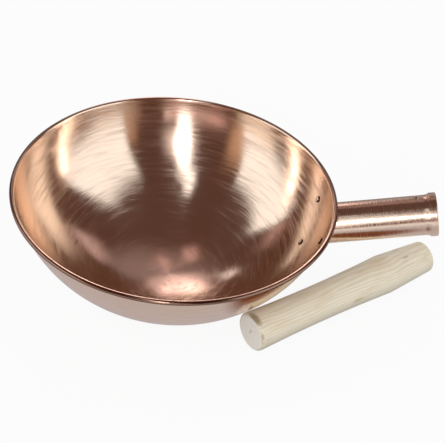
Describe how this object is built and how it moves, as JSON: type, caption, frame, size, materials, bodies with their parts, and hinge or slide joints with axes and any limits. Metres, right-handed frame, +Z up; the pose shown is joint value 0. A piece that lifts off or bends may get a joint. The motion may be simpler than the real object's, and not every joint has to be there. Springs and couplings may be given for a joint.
{
  "type": "wok",
  "caption": "One-handled copper wok with a rolled rim and a riveted tube socket, its turned wooden grip taken off and lying beside it.",
  "frame": {"origin": "middle of the bowl's flat foot, on the floor", "axes": "+Z up out of the bowl, +X towards the handle socket"},
  "size_m": [0.4207, 0.3092, 0.1258],
  "materials": {
    "copper_bowl": "spun and satin polished copper",
    "copper_socket": "turned and polished copper",
    "copper_rivet": "polished copper",
    "grip_wood": "bare turned softwood, sanded"
  },
  "bodies": {
    "root": {"bowl": "copper_bowl", "handle_socket": "copper_socket", "rivet_near": "copper_rivet", "rivet_far": "copper_rivet", "rivet_lower": "copper_rivet", "wooden_grip": "grip_wood"}
  },
  "joints": []
}
